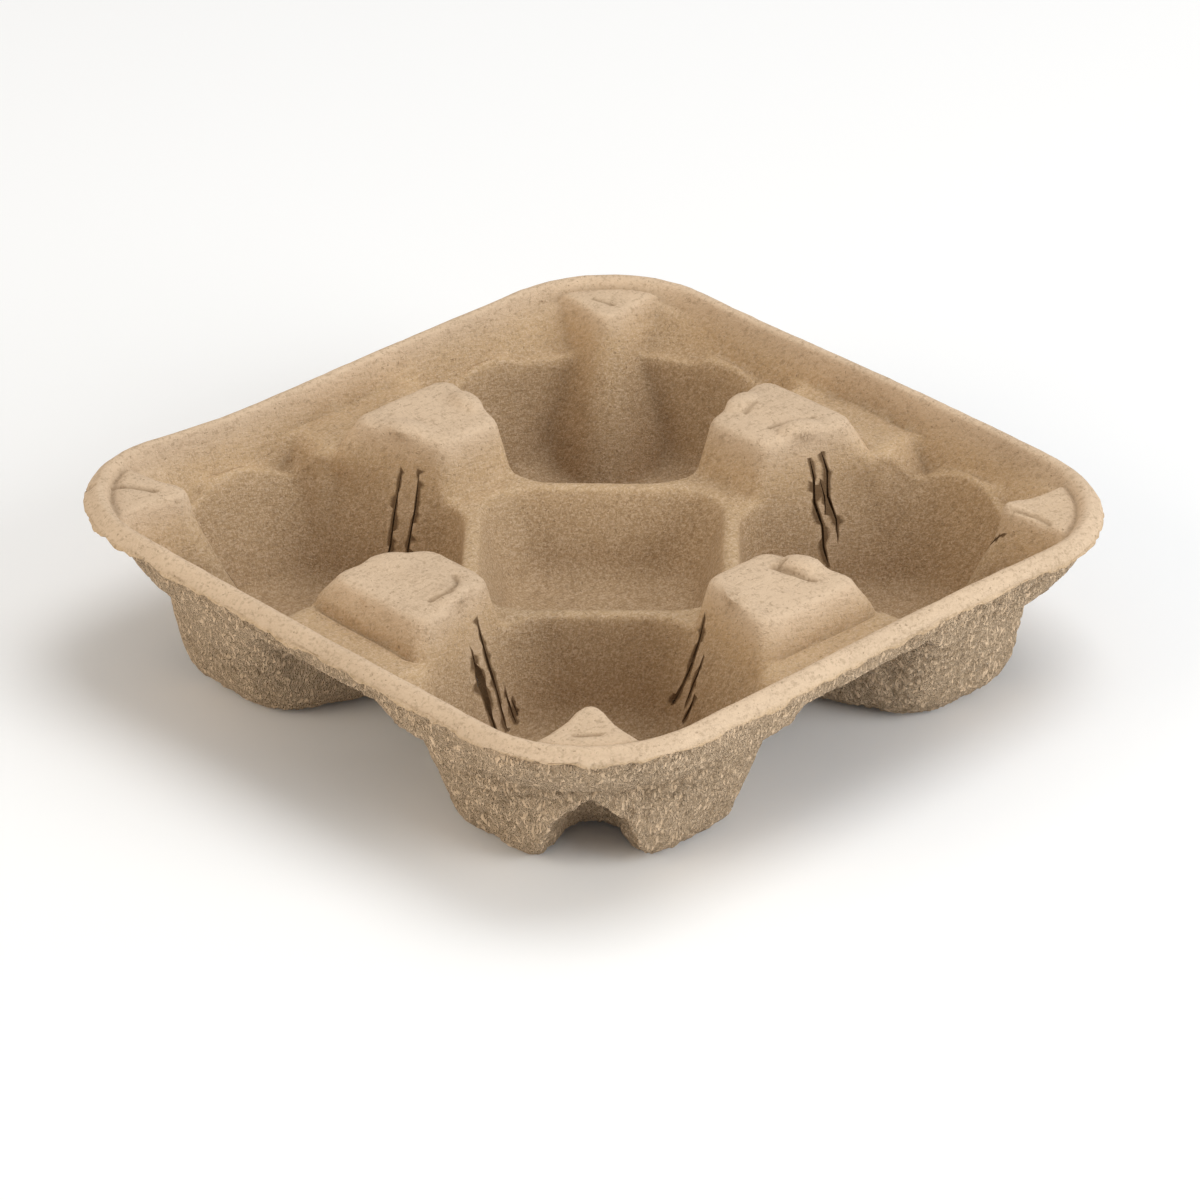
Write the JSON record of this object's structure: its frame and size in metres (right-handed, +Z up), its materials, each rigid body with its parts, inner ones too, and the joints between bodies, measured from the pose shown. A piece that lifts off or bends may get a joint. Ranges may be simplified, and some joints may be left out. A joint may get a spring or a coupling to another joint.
{
  "type": "cup carrier",
  "caption": "Moulded-pulp drink carrier: a square tray with cup wells, hollow humps between them, a centre recess and a turned-down rim.",
  "frame": {"origin": "centre of the tray at the height of the surface that it stands on", "axes": "+Z up out of the wells; the straight sides of the rim lie along X and Y"},
  "size_m": [0.221, 0.221, 0.0532],
  "materials": {
    "moulded_pulp": "matte"
  },
  "bodies": {
    "root": {"cup_carrier": "moulded_pulp"}
  },
  "joints": []
}
